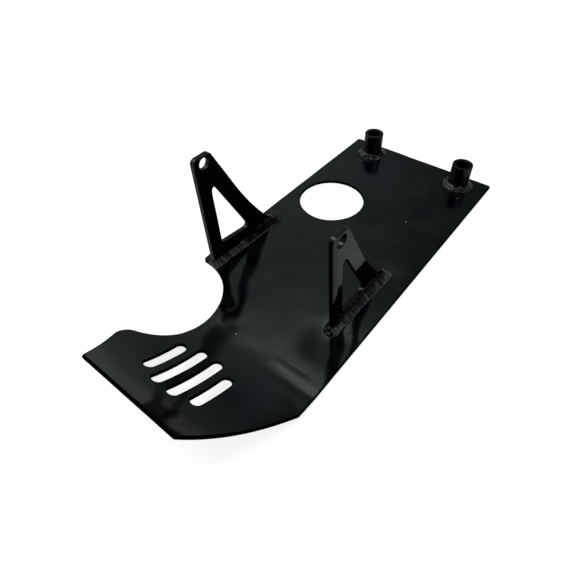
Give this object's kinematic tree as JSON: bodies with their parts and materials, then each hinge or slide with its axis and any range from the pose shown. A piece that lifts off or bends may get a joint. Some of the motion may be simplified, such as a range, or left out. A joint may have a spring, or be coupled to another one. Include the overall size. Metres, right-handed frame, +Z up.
{
  "type": "motorcycle skid plate",
  "caption": "Welded sheet-steel skid plate with a rolled, slotted front, a drain opening, upright engine brackets and rear mounting posts.",
  "frame": {"origin": "midway between the two rear bolt holes, on the underside of the sheet", "axes": "+X to the front of the motorcycle, +Y to its left, +Z up"},
  "size_m": [0.2925, 0.12, 0.0816],
  "materials": {
    "sheet_paint": "semi-gloss black paint on rolled sheet",
    "bracket_paint": "semi-gloss black paint on cut plate",
    "tube_paint": "gloss black paint on tube",
    "weld_paint": "gloss black paint over rippled weld"
  },
  "bodies": {
    "root": {"skid_plate": "sheet_paint", "right_bracket": "bracket_paint", "left_bracket": "bracket_paint", "right_post": "tube_paint", "left_post": "tube_paint", "right_bracket_weld": "weld_paint", "left_bracket_weld": "weld_paint", "right_post_weld": "weld_paint", "left_post_weld": "weld_paint"}
  },
  "joints": []
}
